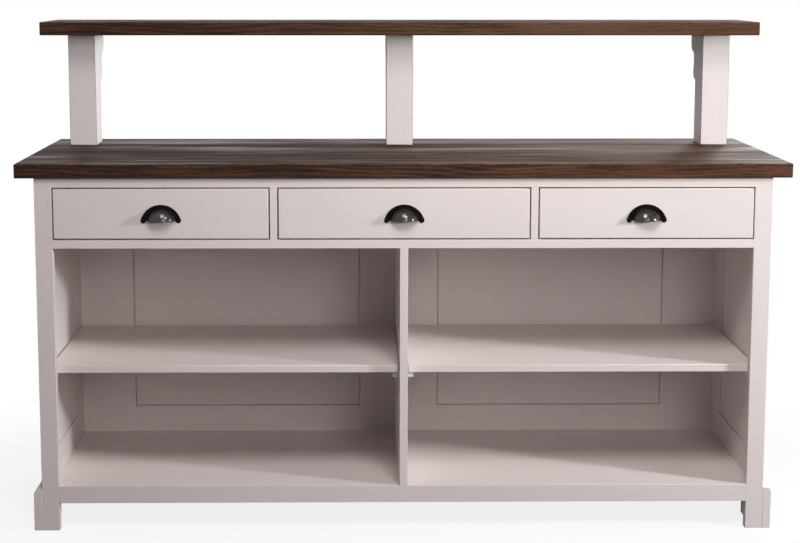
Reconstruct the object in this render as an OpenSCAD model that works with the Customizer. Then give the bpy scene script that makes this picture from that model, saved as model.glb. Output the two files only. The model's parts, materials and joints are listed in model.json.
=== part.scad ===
// Kitchen island unit with a raised bar.
// A painted frame-and-panel cabinet stands on four short legs and two side skirts.
// It holds four open shelf bays and three drawers. Its dark wooden worktop
// overhangs all round and carries a bar board on three posts with corbels.
// X runs along the unit, the drawers face -Y, and Z is up from the floor.

/* [Worktop] */
// Length of the worktop and of the bar board
worktop_w = 1800; // [1600:1:2200]
// Depth of the worktop
worktop_d = 600; // [580:1:700]
// Thickness of the worktop
worktop_t = 33; // [25:1:45]
// Eased edge of the worktop and of the bar board
edge_ease = 2; // [1:0.5:4]
// Worktop beyond the cabinet at each end
overhang_side = 43; // [30:1:60]
// Worktop beyond the cabinet at the front
overhang_front = 12; // [8:1:35]

/* [Bar] */
// Depth of the bar board
bar_d = 248; // [200:1:300]
// Thickness of the bar board
bar_t = 33; // [25:1:45]
// Width of a post
post_w = 68; // [56:1:90]
// Depth of a post
post_d = 86; // [70:1:100]
// Height of a post
post_h = 283; // [200:1:350]
// From the end of the worktop to the end post
post_end_inset = 55; // [50:1:80]
// From the back edge of the worktop to the posts
post_back_inset = 74; // [68:1:90]
// How far a corbel reaches behind its post
corbel_reach = 60; // [45:1:66]
// Height of the flat nose of a corbel
corbel_nose_h = 22; // [10:1:40]
// Radius of the upper lobe of a corbel
corbel_lobe_r = 28; // [15:1:32]
// Reach of the lower part of a corbel, under its lobe
corbel_stem_reach = 26; // [20:1:30]
// Height of the lower part of a corbel
corbel_stem_h = 50; // [30:1:80]
// Radius of the rounded lower end of a corbel
corbel_end_r = 20; // [10:1:20]
// Depth of the hollow in the lower part of a corbel
corbel_hollow = 4; // [2:0.5:6]

/* [Cabinet] */
// Height of the cabinet, up to the underside of the worktop
cabinet_h = 845; // [780:1:900]
// Depth of the cabinet from front to back
cabinet_d = 498; // [470:1:515]
// Thickness of the frames
frame_t = 22; // [20:1:28]
// Width of a front leg
leg_w = 40; // [36:1:60]
// Height of the gap under the bottom rail
foot_h = 67; // [50:1:85]
// Height of the bottom rail
bottom_rail_h = 41; // [36:1:60]
// Height of the middle rail, under the drawers
middle_rail_h = 20; // [18:1:30]
// Height of the top rail, over the drawers
top_rail_h = 23; // [20:1:35]
// Height of the drawer openings
drawer_opening_h = 123; // [115:1:150]
// Width of the centre drawer opening
centre_opening_w = 590; // [450:1:700]
// Thickness of the upright between the bays
partition_t = 19; // [18:1:25]
// Thickness of the uprights between the drawers
drawer_partition_t = 17; // [16:1:22]
// Thickness of the floor board and the drawer deck
board_t = 18; // [16:1:18]
// Depth of the grooves that house the floor board and the drawer deck
housing_d = 6; // [4:1:8]
// Length of the tenons on the front rails
tenon_l = 12; // [8:1:20]
// Shoulder above and below each tenon
tenon_shoulder = 3; // [2:1:5]

/* [Side skirts] */
// Thickness of a side skirt
skirt_t = 20; // [15:1:25]
// Height of a side skirt
skirt_h = 100; // [70:1:150]
// Radius of its rounded upper edge
skirt_round_r = 12; // [5:1:14]

/* [Frames and panels] */
// Width of the side frame stiles
side_stile_w = 98; // [70:1:120]
// Width of the back frame stiles
back_stile_w = 160; // [120:1:200]
// Width of the upright in the middle of the back frame
back_muntin_w = 204; // [120:1:240]
// Height of the top and bottom rails of the side and back frames
frame_rail_h = 110; // [80:1:130]
// Width of the grooves that hold the panels and stub tenons
groove_w = 8; // [6:1:10]
// Depth of those grooves
groove_d = 10; // [8:1:14]
// Play of a panel tongue in its groove, on each face
panel_play = 0.2; // [0.1:0.1:0.5]
// Room for a panel to swell at the bottom of its groove
panel_swell = 2; // [1:0.5:4]
// Depth of a panel's inner face below the frame
panel_recess = 1.5; // [0.5:0.5:3]
// Open line round a panel's inner face
panel_line = 2.5; // [1.5:0.5:5]
// Radius of the two fixing holes through the back
back_hole_r = 3; // [2:0.5:5]
// From the end of the cabinet to a fixing hole
back_hole_inset = 54; // [40:1:80]
// Height of the fixing holes above the floor
back_hole_z = 228; // [190:1:400]

/* [Shelves] */
// Thickness of a shelf
shelf_t = 18; // [15:1:25]
// From the floor board up to the top of a shelf
shelf_rise = 287; // [150:1:400]
// Play at the ends and the back of a shelf
shelf_play = 2; // [1:0.5:4]
// Width of a shelf support
support_w = 15; // [10:1:20]
// Height of a shelf support
support_h = 13; // [8:1:18]
// Radius of the peg of a shelf support
support_peg_r = 2.5; // [2:0.5:3]
// Length of that peg
support_peg_l = 7; // [5:1:8]
// From the front and back edges of a shelf to its supports
support_inset = 18; // [12:1:80]

/* [Drawers] */
// Gap round a drawer front
drawer_reveal = 3; // [2:0.5:4]
// Thickness of a drawer front
front_t = 20; // [18:1:24]
// Thickness of the sides and back of a drawer box
box_t = 15; // [14:1:18]
// Height of a drawer box
box_h = 90; // [84:1:96]
// Length of a drawer box behind its front
box_l = 400; // [350:1:410]
// From the lower edge of a drawer front up to its box
box_lift = 6; // [4:1:10]
// Thickness of a drawer bottom
bottom_t = 6; // [4:1:8]
// From the lower edge of a drawer box up to its bottom
bottom_lift = 8; // [6:1:10]
// Depth of the grooves that hold a drawer bottom and back
box_groove_d = 5; // [4:1:6]
// Length of the dovetails into the drawer front
tail_l = 12; // [8:1:14]
// Height of a runner
runner_h = 16; // [12:1:20]
// Depth of a runner in the groove of a drawer side
runner_bite = 7; // [5:1:8]
// Running gap between a runner and its groove
running_gap = 0.4; // [0.3:0.1:1]

/* [Cup pulls] */
// Radius of the arched flange of a pull
pull_arch_r = 48; // [44:1:55]
// Thickness of that flange
pull_flange_t = 2.2; // [1.5:0.1:3]
// From the top of the arch down to the screws
pull_screw_drop = 36.5; // [34:0.5:40]
// Distance between the two screws of a pull
pull_screw_span = 81; // [76:1:88]
// Radius of the rounded ends that take the screws
pull_lobe_r = 6.5; // [5:0.5:8]
// Radius of the dome where it meets the flange
pull_dome_r = 34; // [30:1:35]
// How far the dome stands out from the drawer
pull_reach = 25; // [20:1:28]
// From the middle of a drawer front up to the top of its pull
pull_rise = 21.5; // [18:0.5:26]
// Width of the flange above the dome
pull_band = 7.5; // [6:0.5:10]
// Thickness of the metal of the dome
pull_wall = 1.8; // [1.2:0.1:2.5]
// Radius of the rolled lip of the dome
pull_lip_r = 1.5; // [1.2:0.1:2]

/* [Fixings] */
// Radius of a post bolt
bolt_r = 4; // [3:0.5:5]
// Depth of a post bolt in its post
bolt_bite = 60; // [40:1:90]
// Radius of a dowel between a post and the bar board
dowel_r = 5; // [4:0.5:6]
// Length of such a dowel
dowel_l = 44; // [36:1:48]
// Radius of the shank of a wood screw
screw_r = 2; // [1.5:0.5:2.5]
// Depth of a runner's screws in the carcass
runner_screw_bite = 8; // [6:0.5:8]
// From the ends of a runner to its screws
runner_screw_inset = 45; // [30:1:60]
// Length of a glue block under the worktop
block_l = 60; // [50:1:90]
// Width of a glue block
block_w = 30; // [24:1:40]
// Height of a glue block
block_h = 18; // [16:1:22]

/* [Hidden] */
$fn = 64;

// Colours
paint = [0.88, 0.86, 0.85];
stain = [0.26, 0.18, 0.14];
pine = [0.82, 0.68, 0.48];
bronze = [0.10, 0.09, 0.09];
steel = [0.62, 0.63, 0.65];
nylon = [0.93, 0.92, 0.90];

// How far a cutting shape passes the face that it cuts
cut = 1;
// Fit of dowels, pegs and screws in their holes
hole_fit = 0.1;
// Fit of a thin board's edge in its groove
edge_fit = 0.2;
// Room at the end of a blind hole or mortise
blind_room = 1;
// Fit of a post bolt in the worktop
bolt_fit = 0.5;

// Places across the unit
x_end = worktop_w / 2;
x_cab = x_end - overhang_side;
x_side_in = x_cab - frame_t;
x_leg_in = x_cab - leg_w;
x_back_stile_in = x_cab - back_stile_w;
x_back_hole = x_cab - back_hole_inset;
x_centre_opening = centre_opening_w / 2;
x_outer_opening = x_centre_opening + drawer_partition_t;
x_post = [-(x_end - post_end_inset - post_w / 2), 0, x_end - post_end_inset - post_w / 2];

// Places from front to back
// The cup pulls stand out past the worktop, and the middle of the whole depth is at 0
pull_past_edge = max(0, pull_reach - overhang_front);
y_edge = (pull_past_edge - worktop_d) / 2;
y_far_edge = y_edge + worktop_d;
y_front = y_edge + overhang_front;
y_frame = y_front + frame_t;
y_back = y_front + cabinet_d;
y_back_in = y_back - frame_t;
y_side_front = y_frame + side_stile_w;
y_side_back = y_back_in - side_stile_w;
y_post_back = y_far_edge - post_back_inset;
y_post_front = y_post_back - post_d;
y_tenon = y_front + (frame_t - groove_w) / 2;

// Heights above the floor
z_floor = foot_h + bottom_rail_h;
z_top_opening = cabinet_h - top_rail_h;
z_deck = z_top_opening - drawer_opening_h;
z_bay_top = z_deck - middle_rail_h;
z_shelf = z_floor + shelf_rise;
z_rail_top = foot_h + frame_rail_h;
z_rail_bottom = cabinet_h - frame_rail_h;
z_worktop = cabinet_h + worktop_t;
z_bar = z_worktop + post_h;

// Thin tongue on the front edge of the floor board and the drawer deck
tongue_t = board_t / 3;

// Drawers, from left to right
drawer_x0 = [-x_leg_in, -x_centre_opening, x_outer_opening];
drawer_x1 = [-x_outer_opening, x_centre_opening, x_leg_in];
z_front = z_deck + drawer_reveal;
front_h = drawer_opening_h - 2 * drawer_reveal;
y_box = y_front + front_t;
y_box_end = y_box + box_l;
z_box = z_front + box_lift;
z_bottom = z_box + bottom_lift;
back_setback = 8;
y_box_back = y_box_end - back_setback;
box_back_drop = 6;
tail_count = 3;
tail_pitch = box_h / tail_count;
tail_flare = tail_l / 6;
tail_root_share = 0.56;
tail_root_h = tail_pitch * tail_root_share;

// Runners: the drawer closes until its grooves meet their front ends
runner_stop = 6;
y_runner = y_box + runner_stop;
z_runner = z_box + (box_h - runner_h) / 2;
// Carcass face and direction of each runner on the right half of the unit
runner_faces = [[x_side_in, -1], [x_outer_opening, 1], [x_centre_opening, -1]];

// Cup pulls
z_pull_top = z_front + front_h / 2 + pull_rise;
z_pull_arch = z_pull_top - pull_arch_r;
z_pull_screw = z_pull_top - pull_screw_drop;
pull_lip_rise = 0.5;
z_dome = z_pull_top - pull_band - pull_dome_r;
dome_sphere_r = (pull_dome_r * pull_dome_r + pull_reach * pull_reach) / (2 * pull_reach);
y_dome = y_front - pull_reach + dome_sphere_r;
z_lip = z_pull_screw + pull_lip_rise;
lip_ring_r = sqrt(pow(dome_sphere_r - pull_wall / 2, 2) - pow(z_lip - z_dome, 2));
pull_screw_l = 14;
pull_screw_head_r = 3.6;

// Corbel
corbel_inner = corbel_reach - corbel_lobe_r;
corbel_chord = corbel_stem_h - corbel_hollow;
corbel_hollow_r = (corbel_chord * corbel_chord / 4 + corbel_hollow * corbel_hollow)
    / (2 * corbel_hollow);

// Fixings
washer_r = 2 * bolt_r;
washer_t = 1.6;
bolt_head_r = 1.8 * bolt_r;
bolt_head_h = 1.3 * bolt_r;
bolt_spread = 14;
y_bolt = y_post_front + post_d / 4;
screw_head_r = 2 * screw_r;
block_screw_l = 40;
screw_cone_h = screw_head_r - screw_r;
// Glue blocks behind the top rail, and before the back frame clear of the centre post's bolts
block_x = [for (i = [0 : 2]) (drawer_x0[i] + drawer_x1[i]) / 2];
block_places = [
    for (x = block_x) [x, y_frame],
    for (x = [block_x[0], block_x[2]]) [x, y_back_in - block_w]
];

// ---- Helpers ----

// A box given by two opposite corners
module span(low, high) {
    translate(low) cube(high - low);
}

// The same shape on both ends of the unit
module both_ends() {
    children();
    mirror([1, 0, 0]) children();
}

// A board whose long and short edges are eased by a small chamfer
module eased_board(low, high, ease) {
    size = high - low;
    translate(low) intersection() {
        rotate([90, 0, 90]) linear_extrude(size.x) eased_outline(size.y, size.z, ease);
        translate([0, size.y, 0]) rotate([90, 0, 0]) linear_extrude(size.y)
            eased_outline(size.x, size.z, ease);
        linear_extrude(size.z) eased_outline(size.x, size.y, ease);
    }
}

module eased_outline(w, h, e) {
    polygon([[e, 0], [w - e, 0], [w, e], [w, h - e], [w - e, h], [e, h], [0, h - e], [0, e]]);
}

// A pointed wood screw along +Z, with the face of its countersunk head at the origin.
// With a fit it is the hole that takes the screw.
module countersunk_screw(length, fit = 0) {
    rotate_extrude() polygon([
        [0, -fit], [screw_head_r + fit, -fit], [screw_r + fit, screw_cone_h],
        [screw_r + fit, length - 2 * screw_r], [0, length + fit]
    ]);
}

// A screw along +Z, with the seat of its round head at the origin
module round_headed_screw(length, head_r) {
    head_h = head_r / 2;
    cylinder(r = screw_r, h = length);
    intersection() {
        translate([0, 0, head_r - head_h]) sphere(r = head_r);
        translate([0, 0, -head_h]) cylinder(r = 2 * head_r, h = head_h);
    }
}

// ---- Worktop and bar ----

module worktop() {
    color(stain) difference() {
        eased_board([-x_end, y_edge, cabinet_h], [x_end, y_far_edge, z_worktop], edge_ease);
        for (x = x_post, side = [-1, 1])
            translate([x + side * bolt_spread, y_bolt, cabinet_h - cut])
                cylinder(r = bolt_r + bolt_fit, h = worktop_t + 2 * cut);
        for_each_block() cylinder(r = screw_r + hole_fit, h = block_screw_l + hole_fit);
    }
}

module bar_board() {
    color(stain) difference() {
        eased_board([-x_end, y_far_edge - bar_d, z_bar],
            [x_end, y_far_edge, z_bar + bar_t], edge_ease);
        for_each_dowel(blind_room / 2) cylinder(r = dowel_r + hole_fit, h = dowel_l + blind_room);
    }
}

module post(i) {
    color(paint) difference() {
        translate([x_post[i], 0, 0]) eased_post();
        for_each_dowel(blind_room / 2) cylinder(r = dowel_r + hole_fit, h = dowel_l + blind_room);
        for (side = [-1, 1])
            translate([x_post[i] + side * bolt_spread, y_bolt, z_worktop - cut])
                cylinder(r = bolt_r + hole_fit, h = bolt_bite + cut + blind_room);
    }
}

module eased_post() {
    translate([-post_w / 2, y_post_front, z_worktop])
        linear_extrude(post_h) eased_outline(post_w, post_d, edge_ease / 2);
}

// Corbel behind a post: a flat nose, a round lobe, then a hollowed stem with a round end
module corbel(i) {
    color(paint) translate([x_post[i] - post_w / 2, y_post_back, z_bar])
        rotate([90, 0, 90]) linear_extrude(post_w) corbel_profile();
}

// Profile in the plane from front to back; the post is at zero, the bar board above
module corbel_profile() {
    stem_top = -corbel_nose_h - corbel_lobe_r;
    stem_end = stem_top - corbel_stem_h;
    translate([0, -corbel_nose_h]) square([corbel_reach, corbel_nose_h]);
    translate([0, stem_top]) square([corbel_inner, corbel_lobe_r]);
    intersection() {
        translate([corbel_inner, -corbel_nose_h]) circle(r = corbel_lobe_r);
        translate([corbel_inner, stem_top]) square(corbel_lobe_r);
    }
    difference() {
        translate([0, stem_end]) square([corbel_stem_reach, corbel_stem_h]);
        translate([corbel_stem_reach + corbel_hollow_r - corbel_hollow,
            (stem_top + stem_end) / 2]) circle(r = corbel_hollow_r, $fn = 128);
    }
    intersection() {
        translate([corbel_stem_reach - corbel_end_r, stem_end]) circle(r = corbel_end_r);
        translate([corbel_stem_reach - corbel_end_r, stem_end - corbel_end_r])
            square(corbel_end_r);
    }
    translate([0, stem_end - corbel_end_r])
        square([corbel_stem_reach - corbel_end_r, corbel_end_r]);
}

// ---- Front frame ----

// Tenon shared by a front rail and the legs
module rail_tenons(low, high, fit = 0) {
    both_ends() span([x_leg_in - cut, y_tenon, low + tenon_shoulder],
        [x_leg_in + tenon_l + fit, y_tenon + groove_w, high - tenon_shoulder]);
}

module front_leg() {
    difference() {
        span([x_leg_in, y_front, 0], [x_cab, y_frame, cabinet_h]);
        rail_tenons(z_top_opening, cabinet_h, blind_room);
        rail_tenons(z_bay_top, z_deck, blind_room);
        rail_tenons(foot_h, z_floor, blind_room);
    }
}

module front_rail(low, high) {
    span([-x_leg_in, y_front, low], [x_leg_in, y_frame, high]);
    rail_tenons(low, high);
}

module front_leg_left() {
    color(paint) mirror([1, 0, 0]) front_leg();
}

module front_leg_right() {
    color(paint) front_leg();
}

module top_rail() {
    color(paint) front_rail(z_top_opening, cabinet_h);
}

module middle_rail() {
    color(paint) difference() {
        front_rail(z_bay_top, z_deck);
        board_tongue(z_deck);
    }
}

module bottom_rail() {
    color(paint) difference() {
        front_rail(foot_h, z_floor);
        board_tongue(z_floor);
    }
}

// ---- Side frames ----

// Housing in the inner face of a side frame for a board whose top is at z
module side_housing(z) {
    span([x_side_in - cut, y_frame - cut, z - board_t],
        [x_side_in + housing_d, y_back_in + cut, z]);
}

// Groove for the panels, centred in the frame's thickness, from y0 to y1
module side_groove(y0, y1, z0, z1) {
    x0 = x_side_in + (frame_t - groove_w) / 2;
    span([x0, y0, z0], [x0 + groove_w, y1, z1]);
}

module side_stiles() {
    difference() {
        union() {
            span([x_side_in, y_frame, 0], [x_cab, y_side_front, cabinet_h]);
            span([x_side_in, y_side_back, 0], [x_cab, y_back_in, cabinet_h]);
        }
        side_groove(y_side_front - groove_d, y_side_back + groove_d, foot_h, cabinet_h + cut);
        side_housing(z_floor);
        side_housing(z_deck);
        shelf_pegs(hole_fit);
        runner_screws(hole_fit);
    }
}

module side_rails() {
    difference() {
        union() {
            for (z = [foot_h, z_rail_bottom]) {
                span([x_side_in, y_side_front, z], [x_cab, y_side_back, z + frame_rail_h]);
                side_groove(y_side_front - groove_d, y_side_back + groove_d, z, z + frame_rail_h);
            }
        }
        side_groove(y_side_front - groove_d - cut, y_side_back + groove_d + cut,
            z_rail_top - groove_d, z_rail_bottom + groove_d);
        side_housing(z_floor);
    }
}

// Panel with a tongue all round and a raised field on its inner face
module side_panel() {
    tongue_x = x_side_in + (frame_t - groove_w) / 2;
    reach = groove_d - panel_swell;
    side_groove_inner = tongue_x + panel_play;
    span([side_groove_inner, y_side_front - reach, z_rail_top - reach],
        [tongue_x + groove_w - panel_play, y_side_back + reach, z_rail_bottom + reach]);
    span([x_side_in + panel_recess, y_side_front + panel_line, z_rail_top + panel_line],
        [side_groove_inner, y_side_back - panel_line, z_rail_bottom - panel_line]);
}

module side_stiles_left() {
    color(paint) mirror([1, 0, 0]) side_stiles();
}

module side_rails_left() {
    color(paint) mirror([1, 0, 0]) side_rails();
}

module side_panel_left() {
    color(paint) mirror([1, 0, 0]) side_panel();
}

module side_stiles_right() {
    color(paint) side_stiles();
}

module side_rails_right() {
    color(paint) side_rails();
}

module side_panel_right() {
    color(paint) side_panel();
}

module side_skirt() {
    difference() {
        span([x_cab, y_front, 0], [x_cab + skirt_t, y_back, skirt_h]);
        difference() {
            span([x_cab + skirt_t - skirt_round_r, y_front - cut, skirt_h - skirt_round_r],
                [x_cab + skirt_t + cut, y_back + cut, skirt_h + cut]);
            translate([x_cab + skirt_t - skirt_round_r, y_back + 2 * cut, skirt_h - skirt_round_r])
                rotate([90, 0, 0]) cylinder(r = skirt_round_r, h = cabinet_d + 4 * cut);
        }
    }
}

module side_skirt_left() {
    color(paint) mirror([1, 0, 0]) side_skirt();
}

module side_skirt_right() {
    color(paint) side_skirt();
}

// ---- Back frame ----

module back_groove(x0, x1, z0, z1) {
    y0 = y_back_in + (frame_t - groove_w) / 2;
    span([x0, y0, z0], [x1, y0 + groove_w, z1]);
}

// Stiles that stand on the floor as the back legs, with a fixing hole each
module back_stiles() {
    color(paint) both_ends() difference() {
        span([x_back_stile_in, y_back_in, 0], [x_cab, y_back, cabinet_h]);
        span([x_back_stile_in - cut, y_back_in - cut, -cut], [x_leg_in, y_back + cut, foot_h]);
        back_groove(x_back_stile_in - cut, x_back_stile_in + groove_d, foot_h, cabinet_h + cut);
        translate([x_back_hole, y_back + cut, back_hole_z]) rotate([90, 0, 0])
            cylinder(r = back_hole_r, h = frame_t + 2 * cut);
    }
}

module back_rails() {
    reach = x_back_stile_in + groove_d;
    color(paint) difference() {
        union() {
            for (z = [foot_h, z_rail_bottom]) {
                span([-x_back_stile_in, y_back_in, z],
                    [x_back_stile_in, y_back, z + frame_rail_h]);
                back_groove(-reach, reach, z, z + frame_rail_h);
            }
        }
        back_groove(-reach - cut, reach + cut, z_rail_top - groove_d, z_rail_bottom + groove_d);
    }
}

module back_muntin() {
    half = back_muntin_w / 2;
    color(paint) difference() {
        union() {
            span([-half, y_back_in, z_rail_top], [half, y_back, z_rail_bottom]);
            back_groove(-half, half, z_rail_top - groove_d, z_rail_bottom + groove_d);
        }
        both_ends() back_groove(half - groove_d, half + cut,
            z_rail_top - groove_d - cut, z_rail_bottom + groove_d + cut);
    }
}

module back_panel() {
    tongue_y = y_back_in + (frame_t - groove_w) / 2;
    reach = groove_d - panel_swell;
    x0 = back_muntin_w / 2;
    span([x0 - reach, tongue_y + panel_play, z_rail_top - reach],
        [x_back_stile_in + reach, tongue_y + groove_w - panel_play, z_rail_bottom + reach]);
    span([x0 + panel_line, y_back_in + panel_recess, z_rail_top + panel_line],
        [x_back_stile_in - panel_line, tongue_y + panel_play, z_rail_bottom - panel_line]);
}

module back_panel_left() {
    color(paint) mirror([1, 0, 0]) back_panel();
}

module back_panel_right() {
    color(paint) back_panel();
}

// ---- Boards and uprights inside ----

// Tongue on the front edge of a board whose top is at z
module board_tongue(z, fit = edge_fit) {
    span([-x_leg_in, y_frame - housing_d - fit, z - board_t / 2 - tongue_t / 2],
        [x_leg_in, y_frame + cut, z - board_t / 2 + tongue_t / 2]);
}

module floor_board() {
    half = x_side_in + housing_d;
    color(paint) {
        span([-half, y_frame, z_floor - board_t], [half, y_back_in, z_floor]);
        board_tongue(z_floor, 0);
    }
}

// The deck ends in the side stiles and clears the side panels
module drawer_deck() {
    half = x_side_in + housing_d;
    color(paint) {
        span([-x_side_in, y_frame, z_deck - board_t], [x_side_in, y_back_in, z_deck]);
        both_ends() {
            span([x_side_in - cut, y_frame, z_deck - board_t], [half, y_side_front, z_deck]);
            span([x_side_in - cut, y_side_back, z_deck - board_t], [half, y_back_in, z_deck]);
        }
        board_tongue(z_deck, 0);
    }
}

// Upright whose front edge shows between the bays
module bay_partition() {
    half = partition_t / 2;
    color(paint) difference() {
        union() {
            span([-half, y_frame, z_floor], [half, y_back_in, z_deck - board_t]);
            span([-half, y_front, z_floor], [half, y_frame + cut, z_bay_top]);
        }
        shelf_pegs(hole_fit);
    }
}

// Upright whose front edge shows between two drawers
module drawer_partition() {
    span([x_centre_opening, y_frame, z_deck], [x_outer_opening, y_back_in, cabinet_h]);
    span([x_centre_opening, y_front, z_deck], [x_outer_opening, y_frame + cut, z_top_opening]);
}

module drawer_partition_left() {
    color(paint) mirror([1, 0, 0]) difference() {
        drawer_partition();
        runner_screws(hole_fit);
    }
}

module drawer_partition_right() {
    color(paint) difference() {
        drawer_partition();
        runner_screws(hole_fit);
    }
}

module shelf() {
    span([partition_t / 2 + shelf_play, y_frame + shelf_play, z_shelf - shelf_t],
        [x_side_in - shelf_play, y_back_in - shelf_play, z_shelf]);
}

module shelf_left() {
    color(paint) mirror([1, 0, 0]) shelf();
}

module shelf_right() {
    color(paint) shelf();
}

// ---- Drawer boxes ----

// Dovetails of a drawer side that starts at x, with a wider end than root
module dovetails(x) {
    for (i = [0 : tail_count - 1]) {
        middle = z_box + (i + 0.5) * tail_pitch;
        root = tail_root_h / 2;
        translate([x, 0, 0]) rotate([90, 0, 90]) linear_extrude(box_t) polygon([
            [y_box, middle - root], [y_box, middle + root],
            [y_box - tail_l, middle + root + tail_flare],
            [y_box - tail_l, middle - root - tail_flare]
        ]);
    }
}

module bottom_panel(i, fit) {
    x0 = drawer_x0[i] + drawer_reveal + box_t - box_groove_d - fit;
    x1 = drawer_x1[i] - drawer_reveal - box_t + box_groove_d + fit;
    span([x0, y_box - box_groove_d - fit, z_bottom], [x1, y_box_back, z_bottom + bottom_t]);
}

module drawer_front(i) {
    x0 = drawer_x0[i] + drawer_reveal;
    x1 = drawer_x1[i] - drawer_reveal;
    color(paint) difference() {
        span([x0, y_front, z_front], [x1, y_box, z_front + front_h]);
        dovetails(x0);
        dovetails(x1 - box_t);
        bottom_panel(i, edge_fit);
        pull_screw_places(i) cylinder(r = screw_r + hole_fit, h = pull_screw_l);
    }
}

// A drawer side whose outer face is at x; inward is +1 when the box lies towards +X
module drawer_side(i, inward) {
    outer = inward > 0 ? drawer_x0[i] + drawer_reveal : drawer_x1[i] - drawer_reveal;
    inner = outer + inward * box_t;
    x0 = min(outer, inner);
    bite = runner_bite + running_gap;
    runner_x0 = inward > 0 ? outer - cut : outer - bite;
    housing_x0 = inward > 0 ? inner - box_groove_d : inner - cut;
    color(pine) difference() {
        union() {
            span([x0, y_box, z_box], [x0 + box_t, y_box_end, z_box + box_h]);
            dovetails(x0);
        }
        span([runner_x0, y_runner - running_gap, z_runner - running_gap],
            [runner_x0 + bite + cut, y_box_end + cut, z_runner + runner_h + running_gap]);
        bottom_panel(i, edge_fit);
        span([housing_x0, y_box_back - box_t, z_bottom + bottom_t],
            [housing_x0 + box_groove_d + cut, y_box_back, z_box + box_h + cut]);
    }
}

module drawer_back(i) {
    inset = drawer_reveal + box_t - box_groove_d;
    color(pine) span([drawer_x0[i] + inset, y_box_back - box_t, z_bottom + bottom_t],
        [drawer_x1[i] - inset, y_box_back, z_box + box_h - box_back_drop]);
}

module drawer_bottom(i) {
    color(pine) bottom_panel(i, 0);
}

// ---- Cup pulls ----

module pull_screw_places(i) {
    x = (drawer_x0[i] + drawer_x1[i]) / 2;
    for (side = [-1, 1])
        translate([x + side * pull_screw_span / 2, y_front, z_pull_screw])
            rotate([-90, 0, 0]) children();
}

// Pressed shell: an arched flange with two rounded ends, and a dome that is open below
module drawer_pull(i) {
    x = (drawer_x0[i] + drawer_x1[i]) / 2;
    color(bronze) {
        difference() {
            translate([x, y_front, 0]) pull_flange();
            translate([x, y_front + cut, z_dome]) rotate([90, 0, 0])
                cylinder(r = pull_dome_r - pull_wall / 2, h = pull_flange_t + 2 * cut);
            pull_screw_places(i) translate([0, 0, -pull_flange_t - cut])
                cylinder(r = screw_r + hole_fit, h = pull_flange_t + 2 * cut);
        }
        translate([x, 0, 0]) pull_dome();
    }
}

module pull_flange() {
    intersection() {
        translate([0, 0, z_pull_arch]) rotate([90, 0, 0])
            cylinder(r = pull_arch_r, h = pull_flange_t, $fn = 96);
        span([-pull_arch_r, -pull_flange_t - cut, z_pull_screw], [pull_arch_r, cut, z_pull_top]);
    }
    for (side = [-1, 1]) translate([side * pull_screw_span / 2, 0, z_pull_screw])
        rotate([90, 0, 0]) cylinder(r = pull_lobe_r, h = pull_flange_t);
}

// The dome is turned about an upright axis behind the drawer's face, and cut off there
module pull_dome() {
    reach = dome_sphere_r + cut;
    intersection() {
        translate([0, y_dome, z_dome]) rotate_extrude($fn = 96) pull_dome_profile();
        span([-reach, y_front - pull_reach - cut, z_lip - reach], [reach, y_front, z_dome + reach]);
    }
}

// Half of a thin round shell, with a rolled lip along its lower edge
module pull_dome_profile() {
    intersection() {
        difference() {
            circle(r = dome_sphere_r, $fn = 96);
            circle(r = dome_sphere_r - pull_wall, $fn = 96);
        }
        translate([0, z_lip - z_dome]) square(dome_sphere_r + cut);
    }
    translate([lip_ring_r, z_lip - z_dome]) circle(r = pull_lip_r, $fn = 24);
}

// Round-headed screws that hold a pull to its drawer front
module pull_screws(i) {
    color(bronze) pull_screw_places(i) translate([0, 0, -pull_flange_t])
        round_headed_screw(pull_screw_l, pull_screw_head_r);
}

// ---- Small pieces of the cabinet ----

// Pegs of the shelf supports, or with a fit the holes that take them
module shelf_pegs(fit = 0) {
    for (y = support_y()) both_ends() {
        translate([partition_t / 2 - support_peg_l - fit, y, support_z()]) rotate([0, 90, 0])
            cylinder(r = support_peg_r + fit, h = support_peg_l + 2 * fit);
        translate([x_side_in - fit, y, support_z()]) rotate([0, 90, 0])
            cylinder(r = support_peg_r + fit, h = support_peg_l + 2 * fit);
    }
}

function support_y() = [
    y_frame + shelf_play + support_inset,
    y_back_in - shelf_play - support_inset
];
function support_z() = z_shelf - shelf_t - support_h / 2;

module shelf_supports() {
    color(nylon) {
        shelf_pegs();
        for (y = support_y()) both_ends() {
            support_block(partition_t / 2, y);
            support_block(x_side_in - support_w, y);
        }
    }
}

module support_block(x, y) {
    translate([x, y - support_w / 2, support_z() - support_h / 2])
        cube([support_w, support_w, support_h]);
}

// Where a runner's tip lies in the groove of its drawer side. The outer runners
// reach past the edge of the opening, which the leg sets, and not the carcass face.
function runner_tip(runner) =
    (runner[0] == x_side_in ? x_leg_in : runner[0]) + runner[1] * (drawer_reveal + runner_bite);

module drawer_runners() {
    color(pine) both_ends() difference() {
        for (runner = runner_faces)
            span([min(runner[0], runner_tip(runner)), y_runner, z_runner],
                [max(runner[0], runner_tip(runner)), y_back_in, z_runner + runner_h]);
        runner_screws(hole_fit);
    }
}

// Screws from the tips of the right half's runners into the carcass
module runner_screws(fit = 0) {
    for (runner = runner_faces, y = [y_runner + runner_screw_inset, y_back_in - runner_screw_inset])
        translate([runner_tip(runner), y, z_runner + runner_h / 2])
            rotate([0, -90 * runner[1], 0])
                countersunk_screw(abs(runner[0] - runner_tip(runner)) + runner_screw_bite, fit);
}

module worktop_blocks() {
    color(pine) difference() {
        for (place = block_places)
            span([place.x - block_l / 2, place.y, cabinet_h - block_h],
                [place.x + block_l / 2, place.y + block_w, cabinet_h]);
        for_each_block() cylinder(r = screw_r + hole_fit, h = block_screw_l);
    }
}

// The underside of each block, where its screw goes in
module for_each_block() {
    for (place = block_places)
        translate([place.x, place.y + block_w / 2, cabinet_h - block_h]) children();
}

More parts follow.
